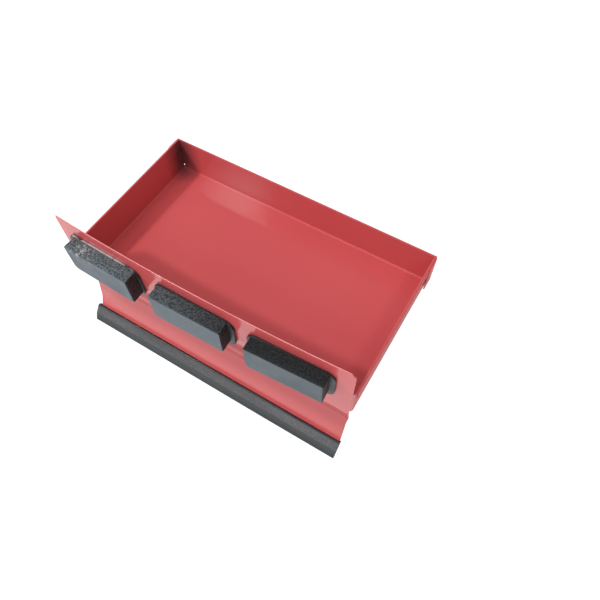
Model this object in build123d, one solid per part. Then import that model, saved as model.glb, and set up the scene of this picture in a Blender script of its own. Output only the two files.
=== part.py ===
"""Magnetic tool tray that hangs on a steel cabinet, all sizes in millimetres.

The origin is the middle of the centre magnet's contact face. +X runs along the tray, +Y points
away from the cabinet into the tray, and +Z is up. The contact faces of the three magnets lie in
the plane Y = 0, and the outer corner of the rubber edging comes within a millimetre of it.
"""
import os
from math import atan2, degrees, hypot

from build123d import *

# Sheet steel
SHEET = 1.0
BEND = 2.0                      # inside radius of a sharp fold
HEM_GAP = 0.3                   # between a wall and its folded hem
HEM_DEPTH = 11.0
HEM = 2 * SHEET + HEM_GAP       # total thickness of a hemmed edge

# Tray
TRAY_WIDTH = 305.0              # over the side walls, without their hems
TRAY_SHIFT = 4.4                # the tray sits this far to the right of the panel's middle
TRAY_DEPTH = 164.7              # from the panel's front to the far wall's outside
WALL_HEIGHT = 42.0
NEAR_FLANGE_HEIGHT = 12.0       # welded to the back of the panel
NEAR_FLANGE_SIDE = 10.0         # upright weld flange at each end of the near side
TAB_LENGTH = 17.0               # end of the far wall, folded round the side wall
CORNER_RELIEF = 6.0             # height of the open notch at each far corner
CORNER_GAP = 0.3

# Panel that carries the magnets
PANEL_WIDTH = 310.0
PANEL_TOP = 82.0                # above the underside of the tray
PANEL_BEND_Z = -4.0             # where the flat panel ends, below the underside of the tray
WAIST = (3.0, -22.0)            # the panel is drawn in here, from the panel's front
LIP_END = (-2.7, -66.9)         # the lip turns out into the edging here
FLANGE_END = (-13.3, -83.8)     # edge of the sheet, inside the edging
PANEL_CORNER = 3.0

# Rubber edging pushed on the lip
EDGING_LENGTH = 310.0
EDGING_FRONT = 1.8
EDGING_BACK = 1.6
EDGING_BOTTOM = 2.0
EDGING_WIDTH = 20.1
EDGING_CORNER = 1.3

# Magnets
MAGNET_PITCH = 98.0
MAGNET_HEIGHT_ON_TRAY = 52.0    # magnet centre above the underside of the tray
MAGNET_STACK = 16.0             # contact face to panel front
COVER = (74.0, 34.0)            # length and height of the rubber cover
COVER_WALL = 1.5
COVER_EDGE = 1.6
COVER_CORNER = 5.0              # the lower left corner has a larger radius
POLE = 3.0                      # thickness of the upper steel pole plate
LOWER_POLE = 4.0
BASE = (84.0, 40.0, 2.5)
BASE_DROP = 4.0                 # its middle is this far below the magnet's
BASE_CORNER = 9.0

# Rivets, two in each base plate
RIVET_SPREAD = 48.0
RIVET_R = 2.0
RIVET_CLEARANCE = 0.05
RIVET_HEAD_R = 3.6
RIVET_HEAD = 1.5
COUNTERSINK = 1.6
WASHER_R = 5.0
WASHER = 0.8

# Places worked out from the sizes above
FRONT = MAGNET_STACK                        # the panel's front face
BACK = FRONT + SHEET                        # the panel's back face
UNDERSIDE = -MAGNET_HEIGHT_ON_TRAY          # the underside of the tray's floor
TOP = UNDERSIDE + WALL_HEIGHT
LEFT = TRAY_SHIFT - TRAY_WIDTH / 2          # outsides of the side walls
RIGHT = TRAY_SHIFT + TRAY_WIDTH / 2
FAR = FRONT + TRAY_DEPTH                    # outside of the far wall
MAGNETS = {"left": -MAGNET_PITCH, "centre": 0.0, "right": MAGNET_PITCH}


def block(low, high):
    """A box between two opposite corners."""
    size = [b - a for a, b in zip(low, high)]
    middle = [(a + b) / 2 for a, b in zip(low, high)]
    return Pos(*middle) * Box(*size)


def folded_box():
    """Floor, side walls, far wall and near wall of one folded sheet, with rounded bends."""
    shells = []
    for inset, radius in ((0.0, BEND + SHEET), (SHEET, BEND)):
        low = (LEFT + inset, BACK + inset, UNDERSIDE + inset)
        high = (RIGHT - inset, FAR - inset, TOP + inset)
        solid = block(low, high)
        near_corners = solid.edges().filter_by(Axis.Z).group_by(Axis.Y)[0]
        solid = fillet(near_corners, radius)
        solid = fillet(solid.faces().sort_by(Axis.Z)[0].edges(), radius)
        shells.append(solid)
    return shells[0] - shells[1]


def side_hem(side):
    """Hem of a side wall, folded outwards; side is -1 for the left wall, 1 for the right."""
    wall = LEFT if side < 0 else RIGHT
    inner = wall - side * SHEET
    leaf = wall + side * HEM_GAP
    outer = wall + side * (HEM_GAP + SHEET)
    start, end = BACK + 4 * SHEET, FAR - SHEET - CORNER_GAP
    cap_base = TOP - HEM / 2
    cap = block((min(inner, outer), start, cap_base), (max(inner, outer), end, TOP))
    cap = fillet(cap.faces().sort_by(Axis.Z)[-1].edges().filter_by(Axis.Y), HEM / 2 - 0.05)
    skirt = block((min(leaf, outer), start, TOP - HEM_DEPTH), (max(leaf, outer), end, cap_base))
    return cap + skirt


def far_hem():
    """Hem of the far wall, folded outwards."""
    reach = HEM_GAP + SHEET
    low_x, high_x = LEFT - reach, RIGHT + reach
    cap_base = TOP - HEM / 2
    cap = block((low_x, FAR - SHEET, cap_base), (high_x, FAR + reach, TOP))
    cap = fillet(cap.faces().sort_by(Axis.Z)[-1].edges().filter_by(Axis.X), HEM / 2 - 0.05)
    skirt = block((low_x, FAR + HEM_GAP, TOP - HEM_DEPTH), (high_x, FAR + reach, cap_base))
    return cap + skirt


def corner_tab(side):
    """End of the far wall, folded round the outside of a side wall's hem."""
    wall = LEFT if side < 0 else RIGHT
    inner = wall + side * (HEM_GAP + SHEET)
    outer = inner + side * SHEET
    low_z, high_z = UNDERSIDE + CORNER_RELIEF, TOP - SHEET
    along = block((min(inner, outer), FAR - TAB_LENGTH, low_z), (max(inner, outer), FAR, high_z))
    start = wall - side * SHEET
    across = block((min(start, outer), FAR - SHEET, low_z), (max(start, outer), FAR, high_z))
    tab = along + across
    outside = tab.edges().filter_by(Axis.Z).sort_by(lambda e: side * e.center().X + e.center().Y)[-1]
    tab = fillet(outside, BEND)
    free = tab.faces().sort_by(Axis.Y)[0].edges().filter_by(Axis.X)
    return fillet(free, 3.0)


def tray_pan():
    """Folded tray: floor, three hemmed walls, corner tabs and the near weld flange."""
    pan = folded_box()
    window_low = (LEFT + NEAR_FLANGE_SIDE, BACK - 1, UNDERSIDE + NEAR_FLANGE_HEIGHT)
    window_high = (RIGHT - NEAR_FLANGE_SIDE, BACK + 2 * SHEET, TOP + 1)
    pan -= block(window_low, window_high)
    for side in (-1, 1):
        wall = LEFT if side < 0 else RIGHT
        pan += side_hem(side)
        # the side wall is a separate leaf: a slit parts it from the far wall
        inside, outside = wall - side * 1.2 * SHEET, wall + side * (HEM_GAP + SHEET)
        slit_y = FAR - SHEET - CORNER_GAP
        pan -= block(
            (min(inside, outside), slit_y, UNDERSIDE + BEND + SHEET),
            (max(inside, outside), FAR - SHEET, TOP + 1),
        )
    pan += far_hem()
    for side in (-1, 1):
        pan += corner_tab(side)
        wall = LEFT if side < 0 else RIGHT
        notch = (wall - side * 1.6 * SHEET, wall + side * 4 * SHEET)
        pan -= block(
            (min(notch), FAR - 1.7 * SHEET, UNDERSIDE + BEND + SHEET),
            (max(notch), FAR + SHEET, UNDERSIDE + CORNER_RELIEF),
        )
    return pan


def panel_outline():
    """Front line of the panel and its lip, from the top edge down, as (Y, Z) points."""
    points = [(0.0, PANEL_TOP), (0.0, PANEL_BEND_Z), WAIST, LIP_END, FLANGE_END]
    return [(FRONT + y, UNDERSIDE + z) for y, z in points]


def mount_panel():
    """Panel that carries the magnets, with the lip below the tray, from one sheet."""
    points = panel_outline()
    line = FilletPolyline(*points, radius=[14.0, 12.0, 5.0])
    face = trace_sheet(line)
    plane = Plane(origin=(-PANEL_WIDTH / 2, 0, 0), x_dir=(0, 1, 0), z_dir=(1, 0, 0))
    panel = extrude(plane * face, PANEL_WIDTH)
    corners = panel.faces().sort_by(Axis.Z)[-1].edges().filter_by(Axis.Y)
    panel = fillet(corners, PANEL_CORNER)
    return panel - rivet_holes(BACK + 1, FRONT - 1)


def trace_sheet(line):
    """Face one sheet thick on the +Y side of a drawn line."""
    both = offset(line, SHEET, side=Side.LEFT, kind=Kind.INTERSECTION)
    return make_face(both)


def rivet_places():
    """X of every rivet."""
    return [x + s * RIVET_SPREAD / 2 for x in MAGNETS.values() for s in (-1, 1)]


def rod(x, radius, y_from, y_to):
    """Round bar along Y at the magnets' height."""
    low, high = min(y_from, y_to), max(y_from, y_to)
    return Pos(x, (low + high) / 2, 0) * Rot(90, 0, 0) * Cylinder(radius, high - low)


def rivet_holes(y_from, y_to):
    holes = [rod(x, RIVET_R + RIVET_CLEARANCE, y_from, y_to) for x in rivet_places()]
    return Compound(holes)


def edging_strip():
    """Rubber channel that is pushed on the lip's edge, from end to end."""
    (y0, z0), (y1, z1) = panel_outline()[-2:]
    run = hypot(y1 - y0, z1 - z0)
    down = Vector(0, (y1 - y0) / run, (z1 - z0) / run)
    out = Vector(0, down.Z, -down.Y)
    tip = Vector(0, y1, z1) + down * EDGING_BOTTOM + out * EDGING_FRONT
    plane = Plane(origin=tip, x_dir=-down, z_dir=(1, 0, 0))
    thick = EDGING_FRONT + SHEET + EDGING_BACK
    inward = 1 if plane.y_dir.dot(out) < 0 else -1
    outer = Pos(EDGING_WIDTH / 2, inward * thick / 2) * Rectangle(EDGING_WIDTH, thick)
    outer = fillet(outer.vertices(), EDGING_CORNER)
    slot_length = EDGING_WIDTH - EDGING_BOTTOM
    slot_x = EDGING_BOTTOM + slot_length / 2
    slot_y = inward * (EDGING_FRONT + SHEET / 2)
    slot = Pos(slot_x, slot_y) * Rectangle(slot_length, SHEET)
    return Pos(-EDGING_LENGTH / 2, 0, 0) * extrude(plane * (outer - slot), EDGING_LENGTH)


def magnet_cover(x):
    """Moulded rubber cap over the magnet, closed on its contact face."""
    depth = MAGNET_STACK - BASE[2]
    outer = block((x - COVER[0] / 2, 0, -COVER[1] / 2), (x + COVER[0] / 2, depth, COVER[1] / 2))
    corners = outer.edges().filter_by(Axis.Y)
    lower_left = corners.sort_by(corner_height)[0]
    outer = fillet([edge for edge in corners if edge != lower_left], COVER_EDGE)
    outer = fillet(outer.edges().filter_by(Axis.Y).sort_by(corner_height)[0], COVER_CORNER)
    outer = fillet(outer.faces().sort_by(Axis.Y)[0].edges(), COVER_EDGE / 2)
    half_x, half_z = COVER[0] / 2 - COVER_WALL, COVER[1] / 2 - COVER_WALL
    room = block((x - half_x, COVER_WALL, -half_z), (x + half_x, depth + 1, half_z))
    return outer - round_lower_left(room)


def corner_height(edge):
    """Smallest for the edge at the lower left."""
    middle = edge.center()
    return middle.X + middle.Z


def round_lower_left(solid):
    """Round the lower left corner of what fills the cover."""
    edge = solid.edges().filter_by(Axis.Y).sort_by(corner_height)[0]
    return fillet(edge, COVER_CORNER - COVER_WALL)


def magnet_insides(x):
    """Ferrite block and the two steel pole plates that hold it between them."""
    half_x, half_z = COVER[0] / 2 - COVER_WALL, COVER[1] / 2 - COVER_WALL
    near, far = COVER_WALL, MAGNET_STACK - BASE[2]
    upper = block((x - half_x, near, half_z - POLE), (x + half_x, far, half_z))
    lower = block((x - half_x, near, -half_z), (x + half_x, far, -half_z + LOWER_POLE))
    lower = round_lower_left(lower)
    ferrite = block((x - half_x, near, -half_z + LOWER_POLE), (x + half_x, far, half_z - POLE))
    return upper, lower, ferrite


def base_plate(x):
    """Steel plate behind a magnet, riveted to the panel."""
    near = FRONT - BASE[2]
    low_z, high_z = -BASE_DROP - BASE[1] / 2, -BASE_DROP + BASE[1] / 2
    plate = block((x - BASE[0] / 2, near, low_z), (x + BASE[0] / 2, FRONT, high_z))
    plate = fillet(plate.edges().filter_by(Axis.Y), BASE_CORNER)
    plate -= rivet_holes(near - 1, FRONT + 1)
    for hole_x in rivet_places():
        plate -= countersunk_head(hole_x, RIVET_CLEARANCE)
    return plate


def countersunk_head(x, grow=0.0):
    """Flush rivet head in the front of a base plate."""
    near = FRONT - BASE[2]
    cone = Cone(RIVET_R + COUNTERSINK + grow, RIVET_R + grow, COUNTERSINK)
    return Pos(x, near + COUNTERSINK / 2, 0) * Rot(-90, 0, 0) * cone


def panel_rivet(x):
    """Rivet with a flush head in the base plate and a domed head behind the panel."""
    shank = rod(x, RIVET_R, FRONT - BASE[2], BACK + WASHER)
    seat = BACK + WASHER
    dome = rod(x, RIVET_HEAD_R, seat, seat + RIVET_HEAD)
    dome = fillet(dome.faces().sort_by(Axis.Y)[-1].edges(), RIVET_HEAD * 0.8)
    return shank + countersunk_head(x) + dome


def rivet_washer(x):
    """Plain washer under a rivet's domed head."""
    hole = rod(x, RIVET_R + RIVET_CLEARANCE, BACK - 1, BACK + WASHER + 1)
    return rod(x, WASHER_R, BACK, BACK + WASHER) - hole


def write(name, shape):
    export_step(shape, f"parts/{name}.step")


def main():
    os.makedirs("parts", exist_ok=True)
    write("tray_pan", tray_pan())
    write("mount_panel", mount_panel())
    write("edging_strip", edging_strip())
    write("panel_rivets", Compound([panel_rivet(x) for x in rivet_places()]))
    write("rivet_washers", Compound([rivet_washer(x) for x in rivet_places()]))
    for name, x in MAGNETS.items():
        upper, lower, ferrite = magnet_insides(x)
        write(f"magnet_cover_{name}", magnet_cover(x))
        write(f"upper_pole_{name}", upper)
        write(f"lower_pole_{name}", lower)
        write(f"ferrite_block_{name}", ferrite)
        write(f"base_plate_{name}", base_plate(x))


main()
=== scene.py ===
import math

import bmesh
import bpy
from mathutils import Matrix, Vector


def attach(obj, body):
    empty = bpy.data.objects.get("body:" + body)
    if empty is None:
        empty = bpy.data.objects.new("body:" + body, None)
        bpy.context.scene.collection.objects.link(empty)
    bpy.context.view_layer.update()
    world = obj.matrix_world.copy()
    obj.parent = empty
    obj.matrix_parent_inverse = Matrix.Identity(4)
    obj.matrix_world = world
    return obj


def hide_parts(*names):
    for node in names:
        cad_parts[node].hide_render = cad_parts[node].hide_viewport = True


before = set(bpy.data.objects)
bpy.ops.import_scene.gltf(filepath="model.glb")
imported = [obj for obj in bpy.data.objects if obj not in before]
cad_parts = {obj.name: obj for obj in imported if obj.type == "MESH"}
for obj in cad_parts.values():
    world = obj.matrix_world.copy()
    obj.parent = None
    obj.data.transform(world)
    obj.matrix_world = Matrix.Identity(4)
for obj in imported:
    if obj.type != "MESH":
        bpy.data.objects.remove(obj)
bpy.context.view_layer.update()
MM = 0.001                      # lengths are in millimetres up to where a mesh is made


# ------------------------------------------------------------------ free shape
# The CAD shows the tray hanging flat against a cabinet. Off the cabinet its thin panel bows
# towards where the cabinet was, and the lip springs out a little.
HALF_PANEL = 155.0              # half of the panel's length
BOW = 4.6                       # how far the middle of the panel comes out
BOW_CENTRE = -6.0               # along X
BOW_HALF = 157.0                # from there to where the bow ends
BOW_FOOT, BOW_RISE = -58.0, 48.0    # it starts at this height and is full this much above it
LIP_TOP, LIP_HEIGHT = -74.0, 61.8   # where the lip starts, and from there to the sheet's edge
SPRING = 3.6                    # how far the lip's lower edge springs out
END_PULL = 3.0                  # how far the left end of the lip is drawn in
END_CENTRE, END_REACH = -158.0, 24.0    # along X

# Each magnet sits a little askew: along X, Y and Z, then turned about Z and Y in radians
MAGNET_EXTRA = {
    -98: (-0.2, 0.3, -0.8, 0.0, -0.012),
    0: (0.6, 0.6, -0.3, 0.018, 0.012),
    98: (0.1, 0.6, -0.9, 0.018, 0.0),
}
PLATE_SHIFT = {-98: -3.5, 0: 0.0, 98: 0.0}      # the base plate, along X
NAMES = {-98: "left", 0: "centre", 98: "right"}


def ramp(t):
    """Smooth step from 0 to 1."""
    t = min(max(t, 0.0), 1.0)
    return t * t * (3 - 2 * t)


def bow(x, z):
    """How far the panel moves along Y at a place on it."""
    across = 1 - min(abs(x - BOW_CENTRE) / BOW_HALF, 1.0) ** 2
    out = -BOW * across * ramp((z - BOW_FOOT) / BOW_RISE)
    spring = -SPRING * max(LIP_TOP - z, 0.0) / LIP_HEIGHT
    near_end = math.exp(-(((x - END_CENTRE) / END_REACH) ** 2))
    left_end = END_PULL * near_end * ramp((-50 - z) / 30) * ramp((z + 122) / 16)
    return out + spring + left_end


def magnet_move(x, on_panel=False):
    """Rigid move of one magnet with the bowed panel, as a matrix.

    The base plate and its fasteners lie flat on the panel, and the magnet in front of them
    sits a little askew in the plate.
    """
    shift = bow(x, 0)
    turn = (bow(x + 25, 0) - bow(x - 25, 0)) / 50
    lean = (bow(x, 12) - bow(x, -12)) / 24
    along, out, up, askew, roll = MAGNET_EXTRA[x]
    if on_panel:
        out, askew = 0.0, 0.0
    centre = Matrix.Translation((x + along, shift + out, up))
    spin = Matrix.Rotation(turn + askew, 4, "Z") @ Matrix.Rotation(lean, 4, "X")
    return centre @ spin @ Matrix.Rotation(roll, 4, "Y") @ Matrix.Translation((-x, 0, 0))


# ------------------------------------------------------------------ mesh helpers
def new_piece(name, verts, faces, material, nodes, smooth=35):
    """Object made from points in millimetres, which stands in for CAD nodes."""
    mesh = bpy.data.meshes.new(name)
    mesh.from_pydata([Vector(v) * MM for v in verts], [], faces)
    mesh.validate()
    b = bmesh.new()
    b.from_mesh(mesh)
    bmesh.ops.remove_doubles(b, verts=b.verts, dist=1e-6)
    bmesh.ops.recalc_face_normals(b, faces=b.faces)
    b.to_mesh(mesh)
    b.free()
    mesh.materials.append(material)
    obj = bpy.data.objects.new(name, mesh)
    bpy.context.scene.collection.objects.link(obj)
    mesh.shade_smooth()
    mesh.set_sharp_from_angle(angle=math.radians(smooth))
    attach(obj, "root")
    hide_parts(*nodes)
    return obj


def bevel(obj, width, segments, angle):
    """Round the edges that are sharper than an angle in degrees."""
    m = obj.modifiers.new("edges", "BEVEL")
    m.width = width * MM
    m.segments = segments
    m.limit_method = "ANGLE"
    m.angle_limit = math.radians(angle)
    m.miter_outer = "MITER_ARC"


def skin(rings):
    """Skin through rings that all have the same number of points, open at both ends."""
    n = len(rings[0])
    verts = [p for ring in rings for p in ring]
    faces = []
    for i in range(len(rings) - 1):
        for j in range(n):
            k = (j + 1) % n
            faces.append((i * n + j, i * n + k, (i + 1) * n + k, (i + 1) * n + j))
    return verts, faces


def lofted(rings):
    """The same skin, closed with a flat face at each end."""
    verts, faces = skin(rings)
    n = len(rings[0])
    faces.append(tuple(range(n)))
    faces.append(tuple((len(rings) - 1) * n + j for j in reversed(range(n))))
    return verts, faces


def rounded_polyline(points, radii, steps=7):
    """The points of a line with its corners rounded."""
    out = [Vector(points[0])]
    for before, here, after, r in zip(points, points[1:], points[2:], radii):
        a, p, c = Vector(before), Vector(here), Vector(after)
        u, w = (a - p).normalized(), (c - p).normalized()
        half = math.acos(max(-1, min(1, u.dot(w)))) / 2
        reach = r / math.tan(half)
        start, end = p + u * reach, p + w * reach
        middle = p + (u + w).normalized() * (r / math.sin(half))
        for i in range(steps + 1):
            t = i / steps
            q = start.lerp(end, t) - middle
            out.append(middle + q.normalized() * r)
    out.append(Vector(points[-1]))
    return out


def refine(line, longest):
    """The line with extra points, so that no run is longer than the given length."""
    out = [line[0]]
    for a, b in zip(line, line[1:]):
        n = max(1, math.ceil((b - a).length / longest))
        out += [a.lerp(b, i / n) for i in range(1, n + 1)]
    return out


def normals_of(line):
    """Unit normals of a line in the YZ plane, towards +Y for a line that goes down."""
    out = []
    for i in range(len(line)):
        d = (line[min(i + 1, len(line) - 1)] - line[max(i - 1, 0)]).normalized()
        out.append(Vector((-d.y, d.x)))
    return out


# ------------------------------------------------------------------ materials
class Nodes:
    """Short way to build a node material."""

    def __init__(self, name):
        self.material = bpy.data.materials.new(name)
        self.material.use_nodes = True
        self.tree = self.material.node_tree
        self.shader = self.tree.nodes["Principled BSDF"]

    def node(self, kind, **settings):
        n = self.tree.nodes.new(kind)
        for key, value in settings.items():
            setattr(n, key, value)
        return n

    def link(self, a, b):
        self.tree.links.new(a, b)

    def place(self, scale=(1, 1, 1)):
        """The object's own coordinates, in metres."""
        tex = self.node("ShaderNodeTexCoord")
        m = self.node("ShaderNodeMapping")
        m.inputs["Scale"].default_value = scale
        self.link(tex.outputs["Object"], m.inputs["Vector"])
        return m.outputs["Vector"]

    def noise(self, scale, detail=4, rough=0.55, at=None):
        n = self.node("ShaderNodeTexNoise")
        n.inputs["Scale"].default_value = scale
        n.inputs["Detail"].default_value = detail
        n.inputs["Roughness"].default_value = rough
        self.link(at or self.place(), n.inputs["Vector"])
        return n.outputs["Fac"]

    def spread(self, value, low, high, to_low=0.0, to_high=1.0):
        n = self.node("ShaderNodeMapRange")
        n.inputs["From Min"].default_value = low
        n.inputs["From Max"].default_value = high
        n.inputs["To Min"].default_value = to_low
        n.inputs["To Max"].default_value = to_high
        self.link(value, n.inputs["Value"])
        return n.outputs["Result"]

    def mix(self, fac, a, b):
        """Colour from a to b, each a colour or a socket, as fac goes from 0 to 1."""
        n = self.node("ShaderNodeMix", data_type="RGBA")
        self.link(fac, n.inputs["Factor"])
        for name, value in (("A", a), ("B", b)):
            target = [s for s in n.inputs if s.name == name and s.type == "RGBA"][0]
            if isinstance(value, tuple):
                target.default_value = (*value, 1)
            else:
                self.link(value, target)
        return [s for s in n.outputs if s.type == "RGBA"][0]

    def maths(self, kind, a, b=0.0):
        """A sum on two values, each a number or a socket."""
        n = self.node("ShaderNodeMath", operation=kind)
        for i, value in enumerate((a, b)):
            if hasattr(value, "is_output"):
                self.link(value, n.inputs[i])
            else:
                n.inputs[i].default_value = value
        return n.outputs[0]

    def bump(self, height, strength, distance, after=None):
        n = self.node("ShaderNodeBump")
        n.inputs["Strength"].default_value = strength
        n.inputs["Distance"].default_value = distance
        self.link(height, n.inputs["Height"])
        if after is not None:
            self.link(after, n.inputs["Normal"])
        return n.outputs["Normal"]

    def axis_of(self, output, axis):
        """One axis of the object's own coordinates or normal."""
        tex = self.node("ShaderNodeTexCoord")
        split = self.node("ShaderNodeSeparateXYZ")
        self.link(tex.outputs[output], split.inputs[0])
        return split.outputs[axis]

    def facing(self, axis):
        """1 on surfaces square to an axis of the object, whichever way they face."""
        return self.maths("ABSOLUTE", self.axis_of("Normal", axis))

    def facing_up(self, low, high):
        """0 to 1 as the object's surface turns to face up."""
        return self.spread(self.axis_of("Normal", "Z"), low, high)

    def along(self, axis, low, high):
        """0 to 1 along an axis of the object, in metres."""
        return self.spread(self.axis_of("Object", axis), low, high)

    def near(self, point, reach, squeeze=(1, 1, 1)):
        """1 at a point of the object, fading to 0 at the given reach."""
        far = self.node("ShaderNodeVectorMath", operation="DISTANCE")
        self.link(self.place(squeeze), far.inputs[0])
        far.inputs[1].default_value = [a * b for a, b in zip(point, squeeze)]
        return self.spread(far.outputs["Value"], reach * 0.2, reach, 1.0, 0.0)


# Places on the object where the paint changes, in metres. Each pair is where the change starts
# and ends, and a pair that falls is 1 on the lower side.
LEFT_WALL = (-0.1478, -0.1474)          # in the thickness of the tray's left wall
FAR_WALL = (0.1804, 0.1800)             # in the thickness of its far wall
RIGHT_OUTSIDE = (0.1562, 0.1566)
# where the far-left corner inside the tray gets painted shade, where the walls meet
FAR_LEFT_CORNER = (-0.1465, 0.1780, -0.030)
# a band of painted shade on the panel's waist, below the magnets
WAIST_SHADE_TOP, WAIST_SHADE_BOTTOM = (-0.053, -0.064), (-0.108, -0.088)      # on the panel's waist
RIM = (0.0284, 0.0294)                  # the panel's top edge


def red_paint():
    """Glossy paint with faint patches and specks, painted shade in a corner and on the panel's
    waist, and a painted highlight along the top edge.
    """
    m = Nodes("red_paint")
    patches = m.noise(5, 2)
    base = m.mix(m.spread(patches, 0.3, 0.7), (0.60, 0.094, 0.100), (0.64, 0.104, 0.108))
    specks = m.spread(m.noise(1500, 1), 0.70, 0.78)
    base = m.mix(m.maths("MULTIPLY", specks, 0.2), base, (0.42, 0.03, 0.035))
    inside = m.maths("MULTIPLY", m.along("X", *LEFT_WALL), m.along("Y", *FAR_WALL))
    # painted shade: the far-left corner inside the tray is darkened where its walls meet
    corner_shade = m.maths("MULTIPLY", m.near(FAR_LEFT_CORNER, 0.026, (1, 1, 0.5)), inside)
    corner_shade = m.maths("MULTIPLY", corner_shade, m.spread(m.noise(60, 4), 0.2, 0.6, 0.6, 0.9))
    base = m.mix(corner_shade, base, (0.075, 0.035, 0.038))
    # painted shade: a darker band on the panel's waist stands in for the shadow of the magnets
    waist_shade = m.maths("MULTIPLY", m.along("Z", *WAIST_SHADE_TOP), m.along("Z", *WAIST_SHADE_BOTTOM))
    base = m.mix(m.maths("MULTIPLY", waist_shade, 0.62), base, (0.40, 0.042, 0.048))
    # painted highlight: a pale pink line on the upward faces of the panel's top edge
    rim = m.maths("MULTIPLY", m.facing_up(0.7, 0.95), m.along("Z", *RIM))
    painted_highlight = m.maths("MULTIPLY", rim, m.spread(m.noise(35, 3), 0.3, 0.6, 0.45, 0.8))
    base = m.mix(painted_highlight, base, (1.0, 0.46, 0.48))
    m.link(base, m.shader.inputs["Base Color"])
    smears = m.noise(14, 3, 0.5)
    gloss = m.spread(smears, 0.3, 0.75, 0.13, 0.19)
    duller = m.maths("MULTIPLY", m.along("X", *RIGHT_OUTSIDE), 0.45)
    m.link(m.maths("ADD", gloss, duller), m.shader.inputs["Roughness"])
    wave = m.bump(m.noise(11, 1), 0.10, 0.0012)
    peel = m.bump(m.noise(420, 2), 0.08, 0.0002, wave)
    m.link(peel, m.shader.inputs["Normal"])
    m.shader.inputs["Specular IOR Level"].default_value = 0.26
    return m.material


def cover_rubber():
    """Rubber of the magnet covers: smooth contact face painted grey, partly its own tone and
    partly a painted reflection of the bright surroundings; grainy sides, with painted shade and a
    painted red reflection on the end faces; scuffs at the left.
    """
    m = Nodes("magnet_rubber")
    face = m.spread(m.facing("Y"), 0.80, 0.95)
    grain = m.noise(620, 3, 0.75)
    handled = m.along("X", 0.06, -0.085)
    dark = m.mix(m.spread(grain, 0.40, 0.60), (0.004, 0.006, 0.007), (0.026, 0.031, 0.033))
    dusty = m.mix(m.spread(grain, 0.40, 0.60), (0.034, 0.047, 0.053), (0.185, 0.222, 0.238))
    side = m.mix(m.spread(handled, 0, 1, 0.0, 0.8), dark, dusty)
    # painted shade and painted reflection: the end faces are painted darker than the tops, with a
    # red tint from the red panel beside them
    end = m.mix(m.spread(grain, 0.40, 0.60), (0.006, 0.005, 0.006), (0.050, 0.034, 0.036))
    side = m.mix(m.spread(m.facing("X"), 0.6, 0.9), side, end)
    # partly painted reflection: the contact face is painted grey, partly the smooth rubber's own
    # tone and partly the reflection of the bright surroundings
    front = m.mix(m.spread(m.noise(40, 4), 0.3, 0.7), (0.110, 0.138, 0.160), (0.150, 0.180, 0.205))
    pores = m.maths("MULTIPLY", m.spread(grain, 0.45, 0.7), 0.35)
    front = m.mix(pores, front, (0.06, 0.075, 0.085))
    front = m.mix(m.along("X", 0.02, 0.13), front, (0.100, 0.125, 0.143))
    base = m.mix(face, side, front)
    near_corner = m.near((-0.116, -0.001, 0.015), 0.017)
    scuffed = m.maths("MULTIPLY", near_corner, m.spread(m.noise(260, 3, 0.7), 0.52, 0.60))
    m.link(m.mix(scuffed, base, (0.42, 0.40, 0.40)), m.shader.inputs["Base Color"])
    rough = m.spread(m.noise(50, 4), 0.3, 0.7, 0.50, 0.72)
    m.link(rough, m.shader.inputs["Roughness"])
    less = m.spread(face, 0, 1, 1.0, 0.12)
    height = m.maths("MULTIPLY", grain, less)
    m.link(m.bump(height, 0.55, 0.0006), m.shader.inputs["Normal"])
    m.shader.inputs["Specular IOR Level"].default_value = 0.2
    return m.material


def strip_rubber():
    """Rubber of the edging: streaked along its length, with painted light that makes the side
    facing up paler and the side facing down darker.
    """
    m = Nodes("edging_rubber")
    streaks = m.noise(60, 4, 0.6, m.place((0.12, 1, 1)))
    # painted light: faces that turn up get the lit tone, faces that turn down the shaded tone
    upper = m.facing_up(0.36, 0.56)
    lit_tone = m.mix(m.spread(streaks, 0.3, 0.7), (0.092, 0.094, 0.101), (0.150, 0.150, 0.158))
    shaded_tone = m.mix(m.spread(streaks, 0.3, 0.7), (0.015, 0.021, 0.023), (0.042, 0.053, 0.057))
    base = m.mix(upper, shaded_tone, lit_tone)
    specks = m.spread(m.noise(700, 2, 0.7), 0.45, 0.62)
    base = m.mix(m.maths("MULTIPLY", specks, 0.5), base, (0.028, 0.035, 0.038))
    m.link(base, m.shader.inputs["Base Color"])
    m.link(m.spread(streaks, 0.3, 0.7, 0.5, 0.68), m.shader.inputs["Roughness"])
    m.link(m.bump(m.noise(620, 3), 0.35, 0.0004), m.shader.inputs["Normal"])
    m.shader.inputs["Specular IOR Level"].default_value = 0.35
    return m.material


def black_steel():
    """Black finish of the base plates, with chips and a painted highlight on the top edge at the
    left.
    """
    m = Nodes("black_steel")
    chips = m.spread(m.noise(160, 5, 0.7), 0.66, 0.72)
    base = m.mix(m.maths("MULTIPLY", chips, 0.7), (0.024, 0.030, 0.033), (0.25, 0.27, 0.28))
    # painted highlight: the upward faces of the left plate's top edge are painted light grey
    painted_highlight = m.maths("MULTIPLY", m.facing_up(0.80, 0.95), m.along("X", -0.055, -0.085))
    painted_highlight = m.maths("MULTIPLY", painted_highlight, m.spread(m.noise(90, 3), 0.35, 0.5))
    m.link(m.mix(painted_highlight, base, (0.55, 0.56, 0.57)), m.shader.inputs["Base Color"])
    m.link(m.spread(m.noise(60, 4), 0.3, 0.7, 0.32, 0.5), m.shader.inputs["Roughness"])
    m.link(m.bump(m.noise(500, 2), 0.2, 0.0002), m.shader.inputs["Normal"])
    m.shader.inputs["Metallic"].default_value = 0.2
    return m.material


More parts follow.
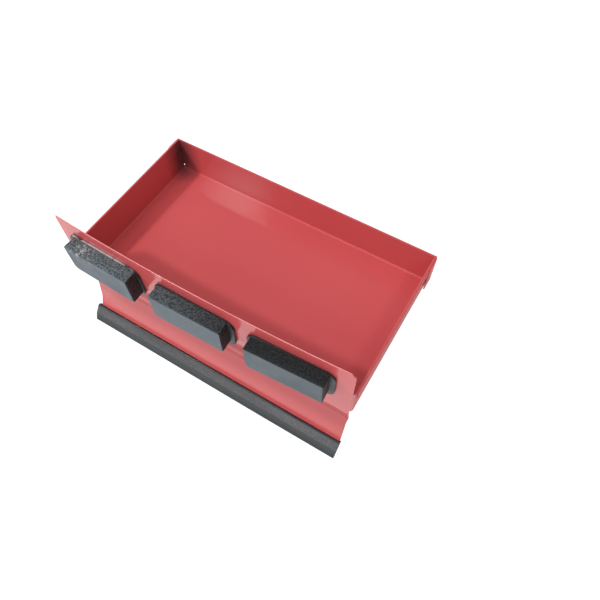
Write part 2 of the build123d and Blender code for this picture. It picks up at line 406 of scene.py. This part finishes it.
def steel(name, low, high, metallic=1.0):
    """Brushed surface between two colours."""
    m = Nodes(name)
    brushed = m.noise(220, 4, 0.6, m.place((0.1, 1, 1)))
    m.link(m.mix(m.spread(brushed, 0.3, 0.7), low, high), m.shader.inputs["Base Color"])
    m.link(m.spread(brushed, 0.3, 0.7, 0.3, 0.48), m.shader.inputs["Roughness"])
    m.link(m.bump(brushed, 0.15, 0.0001), m.shader.inputs["Normal"])
    m.shader.inputs["Metallic"].default_value = metallic
    return m.material


RED = red_paint()
COVER = cover_rubber()
STRIP = strip_rubber()
# near-black painted shadow for the edging's cut edge against the lip
STRIP_SHADOW_LINE = steel("edging_shadow_line", (0.004, 0.004, 0.005), (0.012, 0.010, 0.011), 0.0)
BLACK = black_steel()
ZINC = steel("rivet_zinc", (0.52, 0.53, 0.54), (0.68, 0.68, 0.69))
POLE = steel("pole_steel", (0.42, 0.42, 0.43), (0.55, 0.55, 0.56))
FERRITE = steel("ferrite", (0.05, 0.05, 0.055), (0.09, 0.09, 0.095), 0.0)


# ------------------------------------------------------------------ mount panel
# Y and Z of the panel's front: top, waist, start and end of the lip, edge of the sheet
PROFILE = [(16, 30), (16, -56), (19, -74), (13.3, -118.9), (2.7, -135.8)]
PROFILE_RADII = [14.0, 12.0, 5.0]
PANEL_COLUMNS = 88
LONGEST_ROW = 3.5
TOP_CORNERS = (1.2, 4.5)        # radius at the left and at the right
LIP_TAPER = (3.2, 1.0)          # how much shorter the lip is at the left and at the right
TAPER_TOP, TAPER_HEIGHT = -72, 14   # where the taper starts, and how soon it is full


def panel_end(side, z):
    """How far the panel reaches at one height, for side from -1 at its left to 1 at its right."""
    below_top = PROFILE[0][1] - z
    corner, taper = (TOP_CORNERS[0], LIP_TAPER[0]) if side < 0 else (TOP_CORNERS[1], LIP_TAPER[1])
    cut = 0.0
    if below_top < corner:
        cut = corner - math.sqrt(corner**2 - (corner - below_top) ** 2)
    end = HALF_PANEL - cut * abs(side) ** 8
    return end - taper * ramp((TAPER_TOP - z) / TAPER_HEIGHT) * abs(side) ** 4


def panel_piece():
    """The bowed mount panel with its lip, one sheet thick."""
    line = rounded_polyline(PROFILE, PROFILE_RADII)
    line = refine(line, LONGEST_ROW)
    across = normals_of(line)
    n = PANEL_COLUMNS + 1
    rings = []
    for p, normal in zip(line, across):
        front, back = [], []
        for i in range(n):
            side = 2 * i / PANEL_COLUMNS - 1
            x = side * panel_end(side, p.y)
            for store, depth in ((front, 0.0), (back, 1.0)):
                q = p + normal * depth
                store.append((x, q.x + bow(x, p.y), q.y))
        rings.append(front + back[::-1])
    verts, faces = skin(rings)
    last = (len(rings) - 1) * 2 * n
    for i in range(PANEL_COLUMNS):
        faces.append((i, i + 1, 2 * n - 2 - i, 2 * n - 1 - i))
        faces.append((last + i, last + 2 * n - 1 - i, last + 2 * n - 2 - i, last + i + 1))
    obj = new_piece("mount_panel_free", verts, faces, RED, ["mount_panel"])
    bevel(obj, 0.42, 3, 60)


# ------------------------------------------------------------------ rubber edging
# Section of the edging: along the sheet from its edge, and out from the sheet's middle
EDGING_SECTION = [
    (2.9, 0.3), (2.6, 1.3), (1.7, 2.0), (-1.6, 2.75), (-6.5, 3.65), (-8.4, 3.9), (-9.6, 3.75),
    (-10.4, 3.35), (-14.0, 3.15), (-16.6, 3.1), (-17.2, 2.9), (-17.9, 2.3), (-18.4, 1.5),
    (-18.5, 0.75), (-18.2, 0.57), (-8.0, 0.56), (-1.0, 0.56), (-0.2, 0.3), (-0.2, -0.3),
    (-1.0, -0.56), (-10.0, -0.56), (-17.4, -0.62), (-18.1, -0.8), (-17.8, -1.7),
    (-16.0, -2.1), (-8.0, -2.15), (-0.5, -2.1), (1.9, -1.6), (2.7, -0.6),
]
HALF_SHEET = 0.5
EDGING_COLUMNS = 120
PULL, PULL_LENGTH = 1.3, 250    # the edging is pushed on less far towards the right
CUT_EDGE = -16.8                # the cut edge lies further up the section than this


def edging_piece():
    """The rubber edging along the lip, a little uneven like pressed-on rubber."""
    tip = Vector(PROFILE[-1])
    start = Vector(PROFILE[-2])
    down = (tip - start).normalized()
    out = Vector((down.y, -down.x))
    rings = []
    for i in range(EDGING_COLUMNS + 1):
        x = (2 * i / EDGING_COLUMNS - 1) * HALF_PANEL
        wave = 0.22 * math.sin(x * 0.071) + 0.12 * math.sin(x * 0.19 + 1.2)
        ring = []
        pulled = PULL * ramp((x + HALF_PANEL) / PULL_LENGTH)
        for along, over in EDGING_SECTION:
            over = over - HALF_SHEET
            p = tip + down * (along + (pulled if along > 0 else 0.0)) + out * over
            swell = wave * 0.5 if over > 1 else 0.0
            ring.append((x, p.x + bow(x, p.y) - swell, p.y))
        rings.append(ring)
    verts, faces = lofted(rings)
    obj = new_piece(
        "edging_strip_free", verts, faces, STRIP, ["edging_strip"], 50
    )
    obj.data.materials.append(STRIP_SHADOW_LINE)
    for f in obj.data.polygons:
        # the cut edge that meets the lip is painted near-black, a painted shadow of the gap
        # between the edging and the lip
        middle = Vector((f.center.y, f.center.z)) / MM
        place = (middle - tip - Vector((bow(f.center.x / MM, middle.y), 0))).dot(down)
        if place < CUT_EDGE and (middle - tip).dot(out) > 0.3:
            f.material_index = 1
    bevel(obj, 0.35, 2, 55)


# ------------------------------------------------------------------ magnets
def rounded_outline(half_x, half_z, radii, steps=6, runs=9):
    """Closed outline with its own radius for each corner, starting at the lower left."""
    out = []
    corners = [(-1, -1, 180), (1, -1, 270), (1, 1, 0), (-1, 1, 90)]
    for (sx, sz, turn), r in zip(corners, radii):
        cx, cz = sx * (half_x - r), sz * (half_z - r)
        for i in range(steps + 1):
            a = math.radians(turn + 90 * i / steps)
            out.append((cx + r * math.cos(a), cz + r * math.sin(a)))
    dense = []
    for a, b in zip(out, out[1:] + out[:1]):
        n = max(1, round(math.dist(a, b) / runs))
        dense += [(a[0] + (b[0] - a[0]) * i / n, a[1] + (b[1] - a[1]) * i / n) for i in range(n)]
    return dense


COVER_HALF = (37, 17)
COVER_DEPTH, COVER_WALL = 13.5, 1.5
COVER_RADII = (5.0, 1.8, 1.8, 1.8)
PLATE_HALF = (42, 20)
PLATE_DROP = 4                  # the plate's middle is this far below the magnet's
PLATE_RADIUS = 9


def cover_piece(x0):
    """Rubber cap with soft edges, closed on its contact face and hollow behind."""
    half_x, half_z = COVER_HALF
    move = magnet_move(x0)
    outline = rounded_outline(half_x, half_z, COVER_RADII)
    rings = []

    def ring(inset, y, puff=0.0):
        out = []
        for px, pz in outline:
            sx, sz = (half_x - inset) / half_x, (half_z - inset) / half_z
            sag = puff * math.sin(px * 0.11 + x0) * 0.5
            out.append(move @ Vector((x0 + px * sx, y + sag, pz * sz)))
        rings.append(out)

    for inset, y in ((9, 0.20), (3.2, 0.10), (1.3, 0.02), (0.6, 0.12), (0.18, 0.42), (0.0, 0.95)):
        ring(inset, y, 0.05)
    for y in (3.5, 7.0, 10.5):
        ring(-0.12 + 0.02 * y, y)
    ring(0.0, COVER_DEPTH - 0.35)
    ring(0.35, COVER_DEPTH)
    ring(COVER_WALL - 0.2, COVER_DEPTH)
    ring(COVER_WALL, COVER_DEPTH - 0.3)
    ring(COVER_WALL, COVER_WALL)
    verts, faces = lofted(rings)
    node = f"magnet_cover_{NAMES[x0]}"
    new_piece(node + "_free", verts, faces, COVER, [node], 40)


def plate_piece(x0):
    """Steel base plate with rounded corners and softened edges."""
    half_x, half_z = PLATE_HALF
    move = magnet_move(x0, on_panel=True)
    middle = x0 + PLATE_SHIFT[x0]
    outline = rounded_outline(half_x, half_z, [PLATE_RADIUS] * 4, 8)
    rings = []
    for inset, y in (
        (12, 13.5), (0.7, 13.5), (0.2, 13.65), (0.0, 14.0), (0.0, 15.6), (0.25, 15.95), (12, 16.0)
    ):
        wide, high = half_x - inset, half_z - inset
        rings.append(
            [
                move @ Vector((middle + px * wide / half_x, y, -PLATE_DROP + pz * high / half_z))
                for px, pz in outline
            ]
        )
    verts, faces = lofted(rings)
    node = f"base_plate_{NAMES[x0]}"
    new_piece(node + "_free", verts, faces, BLACK, [node], 40)


def carried(node, move, material, soft=0.0):
    """A copy of a CAD node's mesh, carried along with the bowed panel, its edges rounded."""
    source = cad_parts[node]
    mesh = source.data.copy()
    mesh.materials.clear()
    mesh.materials.append(material)
    for v in mesh.vertices:
        v.co = move(v.co / MM) * MM
    obj = bpy.data.objects.new(node + "_free", mesh)
    bpy.context.scene.collection.objects.link(obj)
    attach(obj, "root")
    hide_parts(node)
    if soft:
        bevel(obj, soft, 2, 50)


def magnets():
    """Covers, base plates and what lies behind them, each moved with the panel."""
    for x0, name in NAMES.items():
        move = magnet_move(x0)
        cover_piece(x0)
        plate_piece(x0)
        for node, material, slot in (
            ("ferrite_block_", FERRITE, "ferrite"),
            ("upper_pole_", POLE, "pole_steel"),
            ("lower_pole_", POLE, "pole_steel"),
        ):
            carried(node + name, lambda p, m=move: m @ p, material, 0.25)

    def with_magnet(p):
        """Move a point of a rivet or washer with the magnet nearest to it."""
        x0 = min(NAMES, key=lambda x: abs(x - p.x))
        return magnet_move(x0, on_panel=True) @ p

    carried("panel_rivets", with_magnet, ZINC)
    carried("rivet_washers", with_magnet, ZINC)


# ------------------------------------------------------------------ tray
def tray():
    """The tray pan keeps its CAD mesh and gets the paint."""
    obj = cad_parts["tray_pan"]
    for s in obj.material_slots:
        s.material = RED
    if not obj.material_slots:
        obj.data.materials.append(RED)


# ------------------------------------------------------------------ stage
# Metres and radians
CAMERA_PLACE = (0.203264, -0.151385, 0.432007)
CAMERA_TURN, CAMERA_TILT, CAMERA_ROLL = -0.5345, 1.0376, 0.0026
LENS, SENSOR = 33.879, 36.0
FLOOR_HEIGHT, FLOOR_SIZE = -0.45, 60
AIM = (0, 0.08, -0.05)          # near the middle of the tray


def camera():
    """Camera turned from +Y about the vertical, tilted down and rolled a little."""
    data = bpy.data.cameras.new("camera")
    data.sensor_width = SENSOR
    data.lens = LENS
    data.clip_start = 0.01
    cam = bpy.data.objects.new("camera", data)
    bpy.context.scene.collection.objects.link(cam)
    level = Vector((math.cos(CAMERA_TURN), -math.sin(CAMERA_TURN), 0))
    ahead = Vector((math.sin(CAMERA_TURN), math.cos(CAMERA_TURN), 0)) * math.cos(CAMERA_TILT)
    forward = ahead - Vector((0, 0, math.sin(CAMERA_TILT)))
    above = level.cross(forward)
    right = level * math.cos(CAMERA_ROLL) + above * math.sin(CAMERA_ROLL)
    up = above * math.cos(CAMERA_ROLL) - level * math.sin(CAMERA_ROLL)
    spin = Matrix((right, up, -forward)).transposed()
    cam.matrix_world = Matrix.Translation(CAMERA_PLACE) @ spin.to_4x4()
    bpy.context.scene.camera = cam


def area(name, place, target, size, power, size_y=None):
    """White area light that points at a target."""
    light = bpy.data.lights.new(name, "AREA")
    light.energy = power
    light.size = size
    if size_y:
        light.shape = "RECTANGLE"
        light.size_y = size_y
    obj = bpy.data.objects.new(name, light)
    obj.location = place
    obj.rotation_euler = (Vector(target) - Vector(place)).to_track_quat("-Z", "Y").to_euler()
    bpy.context.scene.collection.objects.link(obj)
    return obj


def stage():
    """Pale floor, even sky and lights."""
    bpy.ops.mesh.primitive_plane_add(size=FLOOR_SIZE, location=(0, 0, FLOOR_HEIGHT))
    floor = bpy.context.object
    floor.name = "floor"
    m = Nodes("pale_floor")
    tone = m.mix(m.spread(m.noise(3, 2), 0.3, 0.7), (0.40, 0.40, 0.40), (0.43, 0.43, 0.43))
    m.link(tone, m.shader.inputs["Base Color"])
    m.shader.inputs["Roughness"].default_value = 0.9
    # some light of its own keeps the floor white under the object
    m.shader.inputs["Emission Color"].default_value = (1, 1, 1, 1)
    m.shader.inputs["Emission Strength"].default_value = 0.8
    floor.data.materials.append(m.material)

    world = bpy.data.worlds.new("world")
    bpy.context.scene.world = world
    world.use_nodes = True
    sky = world.node_tree.nodes["Background"]
    sky.inputs["Color"].default_value = (1, 1, 1, 1)
    sky.inputs["Strength"].default_value = 0.34
    bpy.context.scene.view_settings.view_transform = "Standard"
    soft = area("soft_left", (-1.0, 0.95, 1.5), (-1.0, 0.95, 0), 1.7, 7, size_y=2.1)
    soft.visible_glossy = False
    area("key_left", (-0.93, -0.816, 1.49), AIM, 0.19, 14, size_y=0.15)
    area("key_right", (0.75, -0.30, 1.25), AIM, 0.30, 2.8)
    area("top", (-0.15, -0.32, 1.45), AIM, 0.9, 3, size_y=0.3)
    area("front", (-0.2, -1.4, 1.15), AIM, 0.9, 8)


camera()
panel_piece()
edging_piece()
magnets()
tray()
stage()
